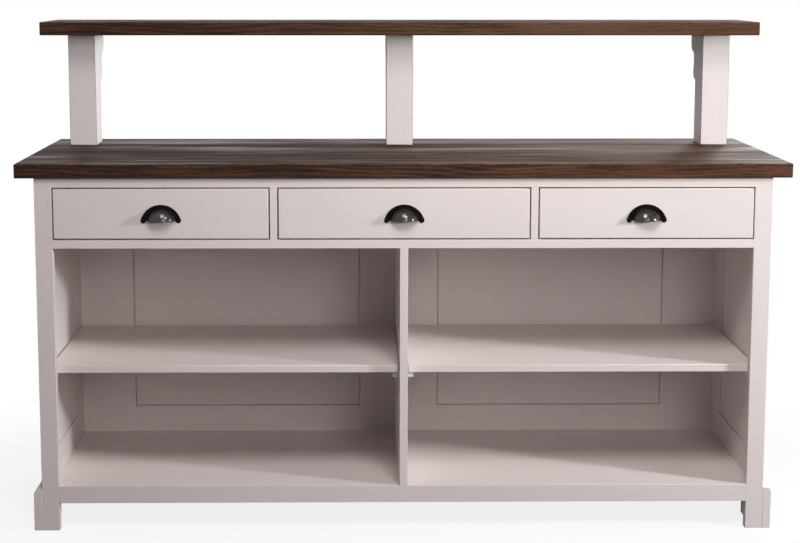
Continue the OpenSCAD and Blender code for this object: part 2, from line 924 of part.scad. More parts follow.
module fixing_screws() {
    color(steel) {
        for_each_block() round_headed_screw(block_screw_l, screw_head_r);
        both_ends() runner_screws();
    }
}

// Bolts that rise through the worktop into the posts, each with its washer
module post_bolts() {
    color(steel) for (x = x_post, side = [-1, 1])
        translate([x + side * bolt_spread, y_bolt, cabinet_h]) {
            cylinder(r = bolt_r, h = worktop_t + bolt_bite);
            translate([0, 0, -washer_t]) cylinder(r = washer_r, h = washer_t);
            translate([0, 0, -washer_t - bolt_head_h])
                cylinder(r = bolt_head_r, h = bolt_head_h, $fn = 6);
        }
}

// Dowels between the posts and the bar board, with a little room at their ends
module for_each_dowel(spare) {
    for (x = x_post, side = [-1, 1])
        translate([x, (y_post_front + y_post_back) / 2 + side * post_d / 4,
            z_bar - dowel_l / 2 - spare]) children();
}

module bar_dowels() {
    color(pine) for_each_dowel(0) cylinder(r = dowel_r, h = dowel_l);
}

// ---- Nodes ----

worktop();
bar_board();
post(0);  // post_left
post(1);  // post_centre
post(2);  // post_right
corbel(0);  // corbel_left
corbel(1);  // corbel_centre
corbel(2);  // corbel_right
front_leg_left();
front_leg_right();
top_rail();
middle_rail();
bottom_rail();
side_stiles_left();
side_rails_left();
side_panel_left();
side_stiles_right();
side_rails_right();
side_panel_right();
back_stiles();
back_rails();
back_muntin();
back_panel_left();
back_panel_right();
bay_partition();
floor_board();
drawer_deck();
drawer_partition_left();
drawer_partition_right();
shelf_left();
shelf_right();
shelf_supports();
side_skirt_left();
side_skirt_right();
drawer_runners();
worktop_blocks();
fixing_screws();
post_bolts();
bar_dowels();
drawer_front(0);  // left_drawer_front
drawer_side(0, 1);  // left_drawer_side_left
drawer_side(0, -1);  // left_drawer_side_right
drawer_back(0);  // left_drawer_back
drawer_bottom(0);  // left_drawer_bottom
drawer_pull(0);  // left_drawer_pull
pull_screws(0);  // left_pull_screws
drawer_front(1);  // centre_drawer_front
drawer_side(1, 1);  // centre_drawer_side_left
drawer_side(1, -1);  // centre_drawer_side_right
drawer_back(1);  // centre_drawer_back
drawer_bottom(1);  // centre_drawer_bottom
drawer_pull(1);  // centre_drawer_pull
pull_screws(1);  // centre_pull_screws
drawer_front(2);  // right_drawer_front
drawer_side(2, 1);  // right_drawer_side_left
drawer_side(2, -1);  // right_drawer_side_right
drawer_back(2);  // right_drawer_back
drawer_bottom(2);  // right_drawer_bottom
drawer_pull(2);  // right_drawer_pull
pull_screws(2);  // right_pull_screws
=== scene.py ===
# %% [markdown]
# # A kitchen island, dressed for its picture
# The CAD model already has every board, rail and screw in its place. This lesson gives them what
# the real unit has on its surfaces: brushed paint, stained boards with their grain, bare pine in
# the drawers and dark metal pulls. It starts by loading the model as a fixed frame in metres,
# because every new piece then goes where the model says, with no fitting by eye.

# %% Load the frame
import json
import math
import bmesh
import bpy
from mathutils import Matrix, Vector


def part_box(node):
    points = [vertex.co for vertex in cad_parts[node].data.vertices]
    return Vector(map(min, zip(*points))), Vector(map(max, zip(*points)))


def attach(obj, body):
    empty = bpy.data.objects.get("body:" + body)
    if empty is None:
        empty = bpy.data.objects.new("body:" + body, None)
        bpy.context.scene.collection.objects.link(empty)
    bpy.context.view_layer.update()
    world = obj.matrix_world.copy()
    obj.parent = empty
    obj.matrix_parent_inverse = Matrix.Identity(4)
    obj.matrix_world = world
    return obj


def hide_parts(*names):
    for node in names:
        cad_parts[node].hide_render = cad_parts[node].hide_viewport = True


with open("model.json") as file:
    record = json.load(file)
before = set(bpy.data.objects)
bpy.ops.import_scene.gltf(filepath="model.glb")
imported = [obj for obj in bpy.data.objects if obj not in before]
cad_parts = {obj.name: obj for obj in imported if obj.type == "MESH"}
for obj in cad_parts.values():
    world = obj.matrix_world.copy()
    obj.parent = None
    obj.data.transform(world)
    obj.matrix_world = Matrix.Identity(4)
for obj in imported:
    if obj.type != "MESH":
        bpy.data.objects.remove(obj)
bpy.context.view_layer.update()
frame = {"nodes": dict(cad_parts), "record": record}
MM = 0.001

# %% [markdown]
# ## The camera
# The picture was taken almost square to the front, from a little left of the middle and above the
# bar board. The camera stands there and tips down. A small shift of the lens keeps the uprights
# close to upright, as in the picture, and still leaves the whole unit in view from other sides.

# %% Camera
CAMERA_PLACE = Vector((-0.1118, -3.9925, 1.3000))
CAMERA_TIP, CAMERA_TURN, CAMERA_ROLL = (math.radians(a) for a in (-7.7095, -0.739, 0.029))
LENS_LENGTH, LENS_SHIFT = 72.68, (0.0291, -0.092)
camera = bpy.data.objects.new("camera", bpy.data.cameras.new("camera"))
camera.data.lens = LENS_LENGTH
camera.data.shift_x, camera.data.shift_y = LENS_SHIFT
camera.matrix_world = (
    Matrix.Translation(CAMERA_PLACE)
    @ Matrix.Rotation(CAMERA_TURN, 4, "Z")
    @ Matrix.Rotation(math.pi / 2 + CAMERA_TIP, 4, "X")
    @ Matrix.Rotation(CAMERA_ROLL, 4, "Z")
)
bpy.context.scene.collection.objects.link(camera)
bpy.context.scene.camera = camera
bpy.context.scene.view_settings.view_transform = "Standard"
print("The camera stands", round(-CAMERA_PLACE.y, 2), "m in front of the unit's middle")

# %% [markdown]
# ## Writing finishes as arithmetic
# A procedural finish is arithmetic on places: where is this point, how far is it from a growth
# ring, how much stain does it hold? The class below wraps a socket of a shader node so that the
# arithmetic can be written with + and *, and each expression adds the Math node that it needs.

# %% A value that varies over a surface
class Field:
    def __init__(self, finish, socket):
        self.finish, self.socket = finish, socket

    def maths(self, operation, *values):
        return self.finish.node("ShaderNodeMath", {"operation": operation}, dict(enumerate(values)))

    def __add__(self, other):
        return self.maths("ADD", self, other)

    def __sub__(self, other):
        return self.maths("SUBTRACT", self, other)

    def __rsub__(self, other):
        return self.maths("SUBTRACT", other, self)

    def __mul__(self, other):
        return self.maths("MULTIPLY", self, other)

    def __truediv__(self, other):
        return self.maths("DIVIDE", self, other)

    def __pow__(self, other):
        return self.maths("POWER", self, other)

    def __abs__(self):
        return self.maths("ABSOLUTE", self)

    __radd__, __rmul__ = __add__, __mul__

    def whole(self):
        return self.maths("FLOOR", self)

    def most(self, other):
        return self.maths("MAXIMUM", self, other)

    def ramp(self, low, high, start=0.0, end=1.0):
        """start below low and end above high, with a smooth turn between them."""
        settings = {"interpolation_type": "SMOOTHSTEP"}
        return self.finish.node("ShaderNodeMapRange", settings,
                                {0: self, 1: low, 2: high, 3: start, 4: end})


# %% [markdown]
# A finish is a material and its slot in the model's record. One method adds any node: it sets
# the node's settings first, because they decide which sockets show, and then its values or links.

# %% A finish
class Finish:
    made = []

    def __init__(self, name, slot):
        self.name, self.slot = name, slot
        self.material = bpy.data.materials.new(name)
        self.material.use_nodes = True
        self.tree = self.material.node_tree
        self.surface = self.tree.nodes["Principled BSDF"]
        Finish.made.append(name)

    def node(self, kind, settings=None, values=None, out=0):
        made = self.tree.nodes.new(kind)
        for key, value in (settings or {}).items():
            setattr(made, key, value)
        for key, value in (values or {}).items():
            self.feed(made, key, value)
        return Field(self, made.outputs[out])

    def feed(self, node, key, value):
        if isinstance(value, Field):
            self.tree.links.new(value.socket, node.inputs[key])
        else:
            node.inputs[key].default_value = value

    def set(self, **values):
        """Feed the surface: set(base_color=...) fills the socket Base Color."""
        for key, value in values.items():
            self.feed(self.surface, key.replace("_", " ").title().replace("Ior", "IOR"), value)

    def place(self, scale=(1, 1, 1), move=(0, 0, 0)):
        """The point on the piece, stretched and moved."""
        here = self.node("ShaderNodeTexCoord", out="Object")
        return self.node("ShaderNodeMapping", {}, {
            "Vector": here, "Scale": scale, "Location": move})

    def axes(self, place):
        return [self.node("ShaderNodeSeparateXYZ", {}, {0: place}, out=i) for i in range(3)]

    def noise(self, place, scale, detail=2.0, rough=0.5, warp=0.0):
        return self.node("ShaderNodeTexNoise", {}, {
            "Vector": place, "Scale": scale, "Detail": detail, "Roughness": rough,
            "Distortion": warp}, out="Fac")

    def mix(self, share, first, second):
        return self.node("ShaderNodeMix", {"data_type": "RGBA"},
                         {0: share, 6: first, 7: second}, out=2)

    def bump(self, height, distance, strength):
        return self.node("ShaderNodeBump", {}, {
            "Height": height, "Distance": distance, "Strength": strength})


# %% [markdown]
# ## Brushed paint
# The cabinet is painted off-white with a brush, along the length of each board. From a step away
# the paint looks even, but it holds fine streaks, a little of the grain below, and slight
# differences in shade and shine. So the streaks are noise stretched along the board: there is one
# finish for boards that lie along the unit, one for uprights and one for those that run back.

# %% Paint
PAINT = (0.80, 0.735, 0.722, 1)
PAINT_DEEP = (0.72, 0.65, 0.63, 1)
HAIRS_ALONG, HAIRS_ACROSS = 5.0, 260.0
GRAIN_ALONG, GRAIN_ACROSS = 1.6, 38.0


def paint(name, along):
    finish = Finish(name, "painted_wood")
    fine, coarse = [HAIRS_ACROSS] * 3, [GRAIN_ACROSS] * 3
    fine[along], coarse[along] = HAIRS_ALONG, GRAIN_ALONG
    streaks = finish.noise(finish.place(scale=fine), 1.0, detail=3.0, rough=0.6)
    grain = finish.noise(finish.place(scale=coarse), 1.0, detail=4.0, rough=0.55, warp=0.4)
    clouds = finish.noise(finish.place(), 3.0, detail=3.0)
    depth = (streaks * 0.35 + grain * 0.45 + clouds * 0.6).ramp(0.45, 0.95)
    finish.set(
        base_color=finish.mix(depth * 0.35, PAINT, PAINT_DEEP),
        roughness=0.42 + 0.12 * streaks + 0.06 * clouds,
        specular_ior_level=0.25,
        normal=finish.bump(streaks * 0.6 + grain, 0.00025, 0.5))
    return finish


paint_along = paint("paint_along_x", 0)
paint_back = paint("paint_along_y", 1)
paint_up = paint("paint_along_z", 2)
print("Paints:", Finish.made)

# %% [markdown]
# ## Stained boards
# The worktop and the bar board are softwood, glued up from staves and stained dark brown under a
# satin coat. Each stave is cut from another place in a tree, so each has its own centre of rings.
# The rings are worked out as they grow: the distance from a centre line that wanders along the
# board. Sawing through them gives long lines, and pointed arches where the centre lies shallow.
# Flecks break the lines up, and hands have rubbed the stain thin along the front edge. The colour
# is also painted lighter towards the right end, a painted sheen from the light on the right.

# %% Stained wood
STAVE = 0.084
STAIN_DARK = (0.015, 0.0070, 0.0042, 1)
STAIN_MID = (0.049, 0.0210, 0.0115, 1)
STAIN_PALE = (0.130, 0.062, 0.035, 1)
STAIN_WORN = (0.200, 0.115, 0.068, 1)
RING_LINES = 105.0
STAVE_TRAVEL = 7.0
# How often each pattern repeats in a metre: along the board, across it and through it.
WANDER, DRIFT = (1.6, 14.0, 14.0), (2.4, 9.0, 9.0)
FIBRE, FLECK = (9.0, 330.0, 420.0), (34.0, 150.0, 230.0)
BAND, BROAD = (5.0, 48.0, 90.0), (2.0, 15.0, 24.0)
# Where hands rub the front edge: from the first distance of the arris to the second.
WORN_NEAR, WORN_FAR = 0.8 * MM, 3.5 * MM


def stained(name, node, offset):
    finish = Finish(name, "stained_wood")
    low, high = (Vector(corner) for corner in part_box(node))
    x, y, z = finish.axes(finish.place())
    stave = ((y + offset) / STAVE).whole()
    pick = finish.node("ShaderNodeTexWhiteNoise", {"noise_dimensions": "1D"},
                       {"W": stave + offset}, out="Color")
    shade, centre, shift = finish.axes(pick)
    here = finish.node("ShaderNodeCombineXYZ", {}, {
        0: x + shift * STAVE_TRAVEL, 1: y + offset, 2: z})

    def noise(stretch, **settings):
        return finish.noise(finish.node("ShaderNodeMapping", {}, {
            "Vector": here, "Scale": stretch}), 1.0, **settings)

    wander = noise(WANDER, detail=4.0, rough=0.55)
    drift = noise(DRIFT, detail=2.0)
    across = y + offset - (stave + 0.2 + centre * 0.6) * STAVE + (wander - 0.5) * 0.085
    deep = z - 0.80 + (drift - 0.5) * 0.05 + shade * 0.06
    distance = (across * across + deep * deep) ** 0.5
    rings = finish.node("ShaderNodeMath", {"operation": "FRACT"}, {0: distance * RING_LINES})
    late = rings.ramp(0.30, 0.92) * (1 - rings.ramp(0.92, 1.0))
    fibre = noise(FIBRE, detail=3.0, rough=0.65)
    fleck = noise(FLECK, detail=4.0, rough=0.65, warp=0.7)
    band = noise(BAND, detail=5.0, rough=0.62, warp=0.6)
    broad = noise(BROAD, detail=3.0, rough=0.6, warp=0.5)
    joint = abs((y + offset) / STAVE - stave - 0.5).ramp(0.486, 0.498)
    # Painted sheen: the colour grows lighter towards the board's right end.
    painted_sheen = x.ramp(low.x, high.x, -0.15, 0.13)
    tone = (late * 0.14 + fibre * 0.30 + fleck * 0.50 + band * 0.65 + broad * 0.75
            + shade * 0.26 + painted_sheen).ramp(1.02, 1.52)
    grained = finish.mix(0.22, finish.mix(tone, STAIN_DARK, STAIN_PALE), STAIN_MID)
    jointed = finish.mix(joint * 0.6, grained, STAIN_DARK)
    wear_and_sheen = (z.ramp(high.z - WORN_FAR, high.z - WORN_NEAR)
              * (1 - y.ramp(low.y + WORN_NEAR, low.y + WORN_FAR)) * fleck.ramp(0.40, 0.62))
    finish.set(
        base_color=finish.mix(wear_and_sheen * 0.55, jointed, STAIN_WORN),
        roughness=(broad * 0.8 + band * 0.5 + shade * 0.2).ramp(0.45, 0.95, 0.84, 0.34),
        specular_ior_level=0.10,
        normal=finish.bump(0.3 * late + fibre * 0.8 + fleck * 0.5 + band * 1.2 - joint,
                           0.0008, 0.8))
    return finish


stained_top = stained("stained_worktop", "worktop", 0.0)
stained_bar = stained("stained_bar", "bar_board", 3.7)
print("Stains:", Finish.made[-2:])

# %% [markdown]
# ## Bare pine
# Drawer boxes, runners and blocks are left bare. The same rings would do, but here they run
# wider, the wood is pale, and the dark late wood is honey coloured.

# %% Pine
PINE_PALE = (0.72, 0.53, 0.31, 1)
PINE_LATE = (0.50, 0.29, 0.12, 1)
PINE_LINES = 60.0


def pine(name, along):
    finish = Finish(name, "bare_pine")
    stretch = [11.0] * 3
    stretch[along] = 0.9
    place = finish.place(scale=stretch, move=(0.3, 0.7, 0.2))
    wander = finish.noise(place, 1.0, detail=3.0)
    x, y, z = finish.axes(finish.place())
    upward = z if along != 2 else x
    rings = finish.node("ShaderNodeMath", {"operation": "FRACT"}, {
        0: upward * PINE_LINES + wander * 9.0})
    late = rings.ramp(0.45, 0.95) * (1 - rings.ramp(0.95, 1.0))
    thin = [330.0] * 3
    thin[along] = 8.0
    fibre = finish.noise(finish.place(scale=thin), 1.0, detail=2.0)
    finish.set(
        base_color=finish.mix(late * 0.75 + fibre * 0.15, PINE_PALE, PINE_LATE),
        roughness=0.62 + 0.12 * fibre,
        normal=finish.bump(fibre + late * 0.3, 0.0003, 0.5))
    return finish


pine_along = pine("pine_along_x", 0)
pine_back = pine("pine_along_y", 1)
print("Pine:", Finish.made[-2:])

# %% [markdown]
# ## Metal and plastic
# The pulls are dark bronze. The flange is painted near black, a painted shade, and the dome is
# painted lighter, a painted reflection. The screws inside are zinc plated, and the shelf supports
# are white plastic.
# None of them is one flat colour: bronze keeps cloudy patches, plating has fine scratches, and
# moulded plastic has a slight orange peel.

# %% Dark bronze
# Near black for the flange as painted shade, and lighter for the dome as a painted reflection.
FLANGE_DARK, DOME_SHEEN = (0.0065, 0.0055, 0.0055, 1), (0.062, 0.055, 0.053, 1)
# How far off the drawer's front the painted reflection starts, and where it is full.
SHEEN_FROM, SHEEN_TO = 3.0 * MM, 9.0 * MM


def bronze(name):
    finish = Finish(name, "dark_bronze")
    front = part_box("left_drawer_front")[0][1]
    # Painted reflection: the further the metal stands off the drawer, the lighter its colour.
    wear_and_sheen = (front - finish.axes(finish.place())[1]).ramp(SHEEN_FROM, SHEEN_TO)
    clouds = finish.noise(finish.place(), 55.0, detail=4.0, rough=0.6)
    scuffs = finish.noise(finish.place(scale=(900.0, 900.0, 140.0)), 1.0, detail=2.0)
    finish.set(
        base_color=finish.mix(wear_and_sheen * (0.72 + 0.5 * clouds), FLANGE_DARK, DOME_SHEEN),
        metallic=1.0,
        roughness=0.27 - 0.17 * wear_and_sheen + 0.10 * clouds + 0.03 * scuffs,
        normal=finish.bump(scuffs * 0.3 + clouds, 0.0002, 0.18))
    return finish


bronze_pull = bronze("dark_bronze")
print("Bronze:", Finish.made[-1:])

# %% [markdown]
# The last two finishes hardly show, but whoever pulls a drawer out or looks under a shelf sees
# them. Patches of noise are enough: they vary the shade and the shine together.

# %% Zinc-plated steel and white plastic
ZINC_DULL, ZINC_BRIGHT = (0.50, 0.51, 0.53, 1), (0.66, 0.66, 0.65, 1)
PLASTIC_NEW, PLASTIC_AGED = (0.86, 0.85, 0.83, 1), (0.80, 0.78, 0.73, 1)


def steel(name):
    finish = Finish(name, "steel")
    patches = finish.noise(finish.place(), 120.0, detail=3.0)
    finish.set(base_color=finish.mix(patches, ZINC_DULL, ZINC_BRIGHT),
               metallic=1.0, roughness=0.32 + 0.18 * patches,
               normal=finish.bump(patches, 0.0001, 0.4))
    return finish


def plastic(name):
    finish = Finish(name, "white_plastic")
    peel = finish.noise(finish.place(), 900.0, detail=1.0)
    yellowing = finish.noise(finish.place(), 30.0)
    finish.set(base_color=finish.mix(yellowing * 0.4, PLASTIC_NEW, PLASTIC_AGED),
               roughness=0.42 + 0.08 * peel, normal=finish.bump(peel, 0.0001, 0.3))
    return finish


plated_steel = steel("zinc_plated_steel")
white_plastic = plastic("white_plastic")
print("Small parts:", Finish.made[-2:])

# %% [markdown]
# ## Which board gets which finish
# A rule by name keeps the brush strokes honest: rails, boards and drawer fronts are brushed along
# the unit, and posts, legs, stiles and panels upwards.

# %% Dress the model's own pieces
UPRIGHT = ("post", "leg", "stiles", "muntin", "panel", "corbel")
DEPTHWISE = ("side_rails", "side_skirt", "drawer_partition", "bay_partition")


def finish_for(node):
    if node == "worktop":
        return stained_top
    if node == "bar_board":
        return stained_bar
    if node.endswith("pull") or node.endswith("pull_screws"):
        return bronze_pull
    if node in ("fixing_screws", "post_bolts"):
        return plated_steel
    if node == "shelf_supports":
        return white_plastic
    if "drawer_side" in node or node in ("drawer_runners", "bar_dowels"):
        return pine_back
    if node.endswith(("drawer_back", "drawer_bottom", "worktop_blocks")):
        return pine_along
    if any(word in node for word in DEPTHWISE):
        return paint_back
    if any(word in node for word in UPRIGHT):
        return paint_up
    return paint_along


def dress(piece, finish):
    piece.data.materials.clear()
    piece.data.materials.append(finish.material)


for name, piece in frame["nodes"].items():
    dress(piece, finish_for(name))
print("Dressed", len(frame["nodes"]), "pieces of the model")

# %% [markdown]
# ## Softened edges
# Nobody leaves a painted edge sharp: sandpaper takes it off before the first coat, and the round
# that is left catches a thin line of light. The model's boards are sharp, so each one that shows
# is copied. The copy's triangles are welded and joined into whole faces again, and its long outer
# edges are bevelled. The model's own board stays below for the physics, hidden.

# %% Pieces made here
body_of = {node: body for body, nodes in frame["record"]["behaviour"]["bodies"].items()
           for node in nodes}
print("The model has", len(set(body_of.values())), "bodies:", sorted(set(body_of.values())))


def add_piece(name, shape, finish, node):
    """Make a piece of a bmesh. It stands for the model's node, and rides where that rides."""
    piece = bpy.data.objects.new(name, bpy.data.meshes.new(name))
    shape.to_mesh(piece.data)
    shape.free()
    bpy.context.scene.collection.objects.link(piece)
    dress(piece, finish)
    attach(piece, body_of[node])
    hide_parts(node)
    return piece


# %% [markdown]
# Only edges that are long, sharp and point outwards are bevelled, because the inner corners of
# joints have to stay closed. The bevel's own faces are shaded smooth and the flat ones aren't: a
# face is flat here when its normal lies along one of the three axes.

# %% Ease a board's edges
SHARP, LONG = math.radians(50), 15 * MM
WELD, FLAT_ENOUGH = 0.005 * MM, math.radians(0.5)
ROUND_STEPS = 2
SQUARE_ON = 0.9995


def eased(node, ease):
    shape = bmesh.new()
    shape.from_mesh(frame["nodes"][node].data)
    bmesh.ops.remove_doubles(shape, verts=shape.verts, dist=WELD)
    bmesh.ops.dissolve_limit(shape, angle_limit=FLAT_ENOUGH,
                             verts=shape.verts, edges=shape.edges)
    corners = [edge for edge in shape.edges
               if edge.is_manifold and edge.is_convex and edge.calc_length() > LONG
               and edge.calc_face_angle() > SHARP]
    bmesh.ops.bevel(shape, geom=corners, offset=ease, affect="EDGES", segments=ROUND_STEPS,
                    profile=0.5, material=-1)
    for face in shape.faces:
        face.smooth = max(abs(part) for part in face.normal) < SQUARE_ON
    return add_piece("eased_" + node, shape, finish_for(node), node)


EASES = {
    0.6 * MM: ["front_leg_left", "front_leg_right", "top_rail", "middle_rail", "bottom_rail",
               "drawer_partition_left", "drawer_partition_right", "bay_partition",
               "side_stiles_left", "side_stiles_right", "side_rails_left", "side_rails_right",
               "back_stiles", "back_rails", "back_muntin"],
    1.5 * MM: ["post_left", "post_centre", "post_right", "shelf_left", "shelf_right",
               "side_skirt_left", "side_skirt_right", "left_drawer_front",
               "centre_drawer_front", "right_drawer_front"],
    0.8 * MM: ["corbel_left", "corbel_centre", "corbel_right"],
}
for ease, nodes in EASES.items():
    made = [eased(node, ease) for node in nodes]
    print(f"{ease / MM:.1f} mm:", len(made), "pieces,",
          sum(len(piece.data.polygons) for piece in made), "faces")

# %% [markdown]
# ## Cup pulls
# A cup pull is pressed from one sheet: an arched flange with a round lobe at each end, a dome that
# rises from it in a soft fillet, and a lower edge rolled into a lip for the fingers. Its outline is
# made of arcs, and a spun point draws each one. The dome is a profile spun round the axis through
# its middle and cut off level, and a small ring swept along its edge rolls the lip.
# Measures are in millimetres from the middle of the drawer front, level with the pull's top.

# %% The flange
ARCH_Z, ARCH_DEGREES = -48.0, 70.71
SCREW_X, SCREW_Z = 40.5, -36.5
LOBE_R, LOBE_START, LOBE_DEGREES = 6.5, (45.30, 0.0, -32.14), 222.25
DOME_Z = -41.5
BORE_START, BORE_DEGREES = (32.72, 0.0, SCREW_Z), -81.3
FLANGE_T, FLANGE_EASE = 2.2, 0.8
JOIN = 0.05


def corners_of(made):
    """The vertices among what an operator made."""
    return [piece for piece in made if isinstance(piece, bmesh.types.BMVert)]


def swing(shape, centre, start, degrees, steps, axis=(0, 1, 0)):
    """Draw an arc with one spun point."""
    point = bmesh.ops.create_vert(shape, co=start)["vert"]
    bmesh.ops.spin(shape, geom=point, cent=centre, axis=axis, angle=math.radians(degrees),
                   steps=steps, use_duplicate=False)


def flange():
    shape = bmesh.new()
    swing(shape, (0, 0, ARCH_Z), (0, 0, 0), ARCH_DEGREES, 28)
    swing(shape, (SCREW_X, 0, SCREW_Z), LOBE_START, LOBE_DEGREES, 24)
    foot = bmesh.ops.create_vert(shape, co=(SCREW_X - LOBE_R, 0, SCREW_Z))["vert"]
    shape.edges.new(foot + bmesh.ops.create_vert(shape, co=BORE_START)["vert"])
    swing(shape, (0, 0, DOME_Z), BORE_START, BORE_DEGREES, 24)
    other = bmesh.ops.duplicate(shape, geom=shape.verts[:] + shape.edges[:])["geom"]
    bmesh.ops.scale(shape, vec=(-1, 1, 1), verts=corners_of(other))
    bmesh.ops.remove_doubles(shape, verts=shape.verts, dist=JOIN)
    bmesh.ops.contextual_create(shape, geom=shape.edges[:])
    front = bmesh.ops.extrude_face_region(shape, geom=shape.faces[:])["geom"]
    bmesh.ops.translate(shape, vec=(0, -FLANGE_T, 0), verts=corners_of(front))
    bmesh.ops.recalc_face_normals(shape, faces=shape.faces)
    rim = [edge for edge in shape.edges if edge.calc_face_angle() > SHARP
           and all(v.co.y < -FLANGE_T / 2 for v in edge.verts)]
    for face in bmesh.ops.bevel(shape, geom=rim, offset=FLANGE_EASE, affect="EDGES", segments=3,
                                profile=0.5, material=-1)["faces"]:
        face.smooth = True
    return shape


# %% [markdown]
# The dome is drawn in two arcs, a large one for the shell and a small one for the fillet that meets
# the flange. Once it is spun and cut, solidify gives it the thickness of the sheet.

# %% The dome and its lip
SPHERE_R, SPHERE_Y, SPHERE_DEGREES, WALL = 35.62, 10.62, 66.27, 1.8
FILLET_START, FILLET_CENTRE, FILLET_DEGREES = (32.61, -3.70, 0.0), (34.90, -4.70, 0.0), -66.4
LIP_Z, LIP_R, LIP_RING_R, LIP_HALF_TURN = -36.0, 1.5, 34.28, 69.1
CLOSE = 0.01


def dome():
    shape = bmesh.new()
    swing(shape, (0, SPHERE_Y, 0), (0, SPHERE_Y - SPHERE_R, 0), SPHERE_DEGREES, 20,
          (0, 0, 1))
    swing(shape, FILLET_CENTRE, FILLET_START, FILLET_DEGREES, 6, (0, 0, 1))
    bmesh.ops.remove_doubles(shape, verts=shape.verts, dist=JOIN)
    bmesh.ops.translate(shape, vec=(0, 0, DOME_Z), verts=shape.verts)
    bmesh.ops.spin(shape, geom=shape.verts[:] + shape.edges[:], cent=(0, 0, DOME_Z), axis=(0, 1, 0),
                   angle=math.tau, steps=96, use_merge=True)
    bmesh.ops.remove_doubles(shape, verts=shape.verts, dist=CLOSE)
    bmesh.ops.bisect_plane(shape, geom=shape.verts[:] + shape.edges[:] + shape.faces[:],
                           plane_co=(0, 0, LIP_Z), plane_no=(0, 0, 1), clear_inner=True)
    bmesh.ops.recalc_face_normals(shape, faces=shape.faces)
    if shape.faces[0].normal.y > 0:
        bmesh.ops.reverse_faces(shape, faces=shape.faces)
    bmesh.ops.solidify(shape, geom=shape.faces[:], thickness=WALL)
    for face in shape.faces:
        face.smooth = True
    return shape


def lip():
    shape = bmesh.new()
    bmesh.ops.create_circle(shape, cap_ends=True, segments=16, radius=LIP_R)
    bmesh.ops.rotate(shape, matrix=Matrix.Rotation(math.pi / 2, 3, "Y"), verts=shape.verts)
    bmesh.ops.translate(shape, vec=(0, -LIP_RING_R, 0), verts=shape.verts)
    bmesh.ops.rotate(shape, matrix=Matrix.Rotation(math.radians(-LIP_HALF_TURN), 3, "Z"),
                     verts=shape.verts)
    ends = shape.faces[:]
    bmesh.ops.spin(shape, geom=ends, cent=(0, 0, 0), axis=(0, 0, 1),
                   angle=math.radians(2 * LIP_HALF_TURN), steps=48, use_duplicate=False)
    bmesh.ops.translate(shape, vec=(0, SPHERE_Y, LIP_Z), verts=shape.verts)
    bmesh.ops.recalc_face_normals(shape, faces=shape.faces)
    for face in shape.faces:
        face.smooth = True
    return shape


def joined(*shapes):
    """One bmesh of several, which are emptied into it."""
    whole = bmesh.new()
    for shape in shapes:
        part = bpy.data.meshes.new("part")
        shape.to_mesh(part)
        shape.free()
        whole.from_mesh(part)
        bpy.data.meshes.remove(part)
    return whole


# %% [markdown]
# Each pull is held by two screws with domed heads. A cross is sunk in each head: the shape is a
# spun profile, and a Boolean takes the cross out, because its walls are thin and steep.

# %% Screws of the pulls
HEAD_R, HEAD_H, SHANK_R, SHANK_L = 3.6, 2.3, 1.5, 13.0
CROWN_Y, CROWN_DEGREES = 2.2, 53.1
CROSS_W, CROSS_L, CROSS_DEPTH = 0.8, 3.6, 1.3


def screw():
    shape = bmesh.new()
    swing(shape, (0, CROWN_Y, 0), (0, -HEAD_H, 0), CROWN_DEGREES, 8, (0, 0, 1))
    tip = max(shape.verts, key=lambda v: v.co.x)
    chain = [tip]
    for place in ((HEAD_R, -0.2, 0), (HEAD_R - 0.3, 0, 0), (SHANK_R, 0, 0),
                  (SHANK_R * 0.9, SHANK_L * 0.75, 0), (0, SHANK_L, 0)):
        chain.append(bmesh.ops.create_vert(shape, co=place)["vert"][0])
        shape.edges.new(chain[-2:])
    bmesh.ops.spin(shape, geom=shape.verts[:] + shape.edges[:], cent=(0, 0, 0), axis=(0, 1, 0),
                   angle=math.tau, steps=32, use_merge=True)
    bmesh.ops.remove_doubles(shape, verts=shape.verts, dist=CLOSE)
    bmesh.ops.recalc_face_normals(shape, faces=shape.faces)
    return shape


def cross():
    shape = bmesh.new()
    for size in ((CROSS_L, CROSS_W), (CROSS_W, CROSS_L)):
        bar = bmesh.ops.create_cube(shape, size=1.0)["verts"]
        bmesh.ops.scale(shape, vec=(size[0], 2 * CROSS_DEPTH, size[1]), verts=bar)
        bmesh.ops.translate(shape, vec=(0, -HEAD_H, 0), verts=bar)
    return shape


def holder(name, shape):
    kept = bpy.data.objects.new(name, bpy.data.meshes.new(name))
    shape.to_mesh(kept.data)
    shape.free()
    bpy.context.scene.collection.objects.link(kept)
    return kept


def cut_out(shape, cutter):
    """Take one bmesh out of another with a Boolean, and return the result as a bmesh."""
    solid, knife = holder("solid", shape), holder("knife", cutter)
    boolean = solid.modifiers.new("cut", "BOOLEAN")
    boolean.operation, boolean.object, boolean.solver = "DIFFERENCE", knife, "EXACT"
    boolean.use_self = True
    bpy.context.view_layer.update()
    result = bmesh.new()
    result.from_mesh(solid.evaluated_get(bpy.context.evaluated_depsgraph_get()).data)
    for done in (solid, knife):
        mesh = done.data
        bpy.data.objects.remove(done)
        bpy.data.meshes.remove(mesh)
    return result


# %% [markdown]
# The shapes are drawn in millimetres, so they are brought to metres and to their drawer. The box
# of the model's own pull says where that is. The pull and its screws stand for the model's and
# ride on the drawer.

# %% Fit a pull to each drawer
def fitted(shape, origin):
    """Bring a shape in millimetres to its place on the unit."""
    bmesh.ops.scale(shape, vec=(MM, MM, MM), verts=shape.verts)
    bmesh.ops.translate(shape, vec=origin, verts=shape.verts)
    return shape


